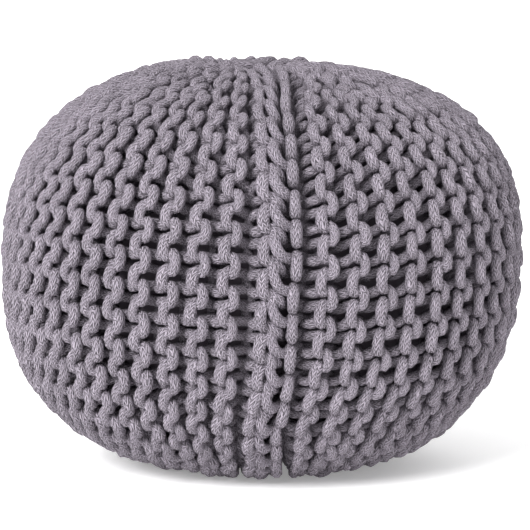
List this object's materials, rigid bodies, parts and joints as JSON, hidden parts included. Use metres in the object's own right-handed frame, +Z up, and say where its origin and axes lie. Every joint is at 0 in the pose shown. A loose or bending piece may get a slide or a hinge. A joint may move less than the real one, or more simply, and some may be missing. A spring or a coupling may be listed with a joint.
{
  "type": "knitted pouf",
  "caption": "Round knitted floor pouf in thick grey cotton cord, with upright garter ridges, a sewn side seam and a gathered crown and base.",
  "frame": {"origin": "on the floor, under the middle of the pouf", "axes": "+Z up from the floor to the crown; the sewn seam faces -Y"},
  "size_m": [0.4998, 0.4994, 0.3907],
  "materials": {
    "cord_grey": "soft cotton cord, matt",
    "seam_grey": "soft cotton cord, matt",
    "gather_grey": "soft cotton cord, matt"
  },
  "bodies": {
    "root": {"knit_cover": "cord_grey", "seam_cord": "seam_grey", "crown_gather_cord": "gather_grey", "base_gather_cord": "gather_grey"}
  },
  "joints": []
}
